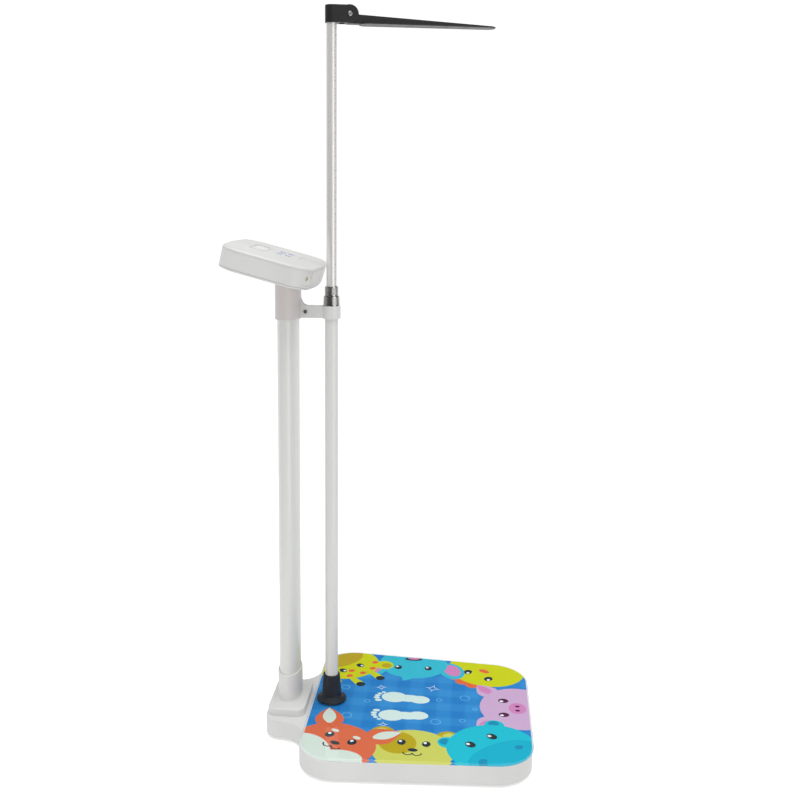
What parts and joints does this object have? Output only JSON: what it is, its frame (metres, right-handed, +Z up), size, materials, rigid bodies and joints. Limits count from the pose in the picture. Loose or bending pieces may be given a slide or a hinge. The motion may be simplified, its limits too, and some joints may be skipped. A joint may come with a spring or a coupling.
{
  "type": "column weighing scale",
  "caption": "Electronic column scale for children: glass platform, tilted display head and a telescopic height rod with a folding measuring arm.",
  "frame": {"origin": "on the floor, in the middle of the whole footprint", "axes": "+X from the column to the platform, +Z up along the column"},
  "size_m": [0.4404, 0.3258, 1.0348],
  "materials": {
    "white_shell": "satin moulded ABS with a fine grain",
    "base_underside": "matt moulded ABS",
    "platform_glass": "clear tempered glass with ground edges",
    "platform_print": "printed film seen through the glass",
    "white_enamel": "white powder coat",
    "steel_screws": "nickel-plated steel",
    "stamped_steel": "stamped spring steel",
    "foot_rubber": "moulded rubber",
    "circuit_board": "solder-resist green",
    "display_window": "clear acrylic",
    "display_panel": "unlit liquid-crystal panel",
    "black_plastic": "black moulded plastic",
    "blue_keys": "blue key caps",
    "cell_jacket": "plain jacketed cells",
    "cable_sheath": "grey flexible sheath",
    "chromed_collet": "chromed and knurled",
    "natural_nylon": "natural nylon",
    "anodised_rod": "clear anodised aluminium"
  },
  "bodies": {
    "stand": {"base_bottom_plate": "base_underside", "base_screws": "steel_screws", "base_shell": "white_shell", "batteries": "cell_jacket", "battery_holder": "black_plastic", "bracket_screw": "steel_screws", "collet_jaw": "natural_nylon", "collet_nut_lower": "chromed_collet", "column_foot": "white_shell", "column_foot_screws": "steel_screws", "column_screws": "steel_screws", "column_tube": "white_enamel", "dc_jack": "natural_nylon", "foot_pad_front_left": "foot_rubber", "foot_pad_front_right": "foot_rubber", "foot_pad_rear_left": "foot_rubber", "foot_pad_rear_right": "foot_rubber", "glass_platter": "platform_glass", "head_bottom_case": "white_shell", "head_mount_screws": "steel_screws", "head_screws": "steel_screws", "head_top_case": "white_shell", "junction_board": "circuit_board", "key_switches": "black_plastic", "lcd_module": "display_panel", "lcd_window": "display_window", "load_cell_front_left": "stamped_steel", "load_cell_front_right": "stamped_steel", "load_cell_rear_left": "stamped_steel", "load_cell_rear_right": "stamped_steel", "main_board": "circuit_board", "neck_sleeve": "white_shell", "printed_film": "platform_print", "rod_bracket": "white_shell", "rod_foot": "foot_rubber", "rod_outer_tube": "white_enamel", "signal_cable": "cable_sheath"},
    "rod_carriage": {"guide_bush": "natural_nylon"},
    "rod": {"inner_rod": "anodised_rod", "rod_end_plug": "black_plastic", "bush_clip": "steel_screws", "rod_clamp": "black_plastic", "clamp_bolt": "steel_screws", "clamp_nut": "steel_screws"},
    "arm": {"measuring_arm": "black_plastic"},
    "collet_ring": {"collet_ring_upper": "chromed_collet"},
    "power_key": {"key_power": "blue_keys"},
    "unit_key": {"key_unit": "blue_keys"},
    "tare_key": {"key_tare": "blue_keys"},
    "hold_key": {"key_hold": "blue_keys"},
    "door": {"battery_door": "white_shell"}
  },
  "joints": [
    {"name": "rod_slide", "type": "slide", "parent": "stand", "child": "rod_carriage", "axis": [0, 0, 1], "range_m": [-0.355, 0.18]},
    {"name": "rod_swivel", "type": "hinge", "parent": "rod_carriage", "child": "rod", "pos_m": [-0.07204, 0, 0.41], "axis": [0, 0, 1], "range_deg": [-77, 43]},
    {"name": "arm_fold", "type": "hinge", "parent": "rod", "child": "arm", "pos_m": [-0.04908, 0.00702, 1.02225], "axis": [-0.2924, 0.9563, 0], "range_deg": [0, 80]},
    {"name": "collet_turn", "type": "hinge", "parent": "stand", "child": "collet_ring", "pos_m": [-0.07204, 0, 0.647], "axis": [0, 0, 1], "range_deg": [-30, 90]},
    {"name": "battery_door_hinge", "type": "hinge", "parent": "stand", "child": "door", "pos_m": [-0.17149, 0, 0.67452], "axis": [0, -1, 0], "range_deg": [0, 80]},
    {"name": "power_key_press", "type": "slide", "parent": "stand", "child": "power_key", "axis": [-0.2588, 0, -0.9659], "range_m": [0, 0.0008]},
    {"name": "unit_key_press", "type": "slide", "parent": "stand", "child": "unit_key", "axis": [-0.2588, 0, -0.9659], "range_m": [0, 0.0008]},
    {"name": "tare_key_press", "type": "slide", "parent": "stand", "child": "tare_key", "axis": [-0.2588, 0, -0.9659], "range_m": [0, 0.0008]},
    {"name": "hold_key_press", "type": "slide", "parent": "stand", "child": "hold_key", "axis": [-0.2588, 0, -0.9659], "range_m": [0, 0.0008]}
  ]
}
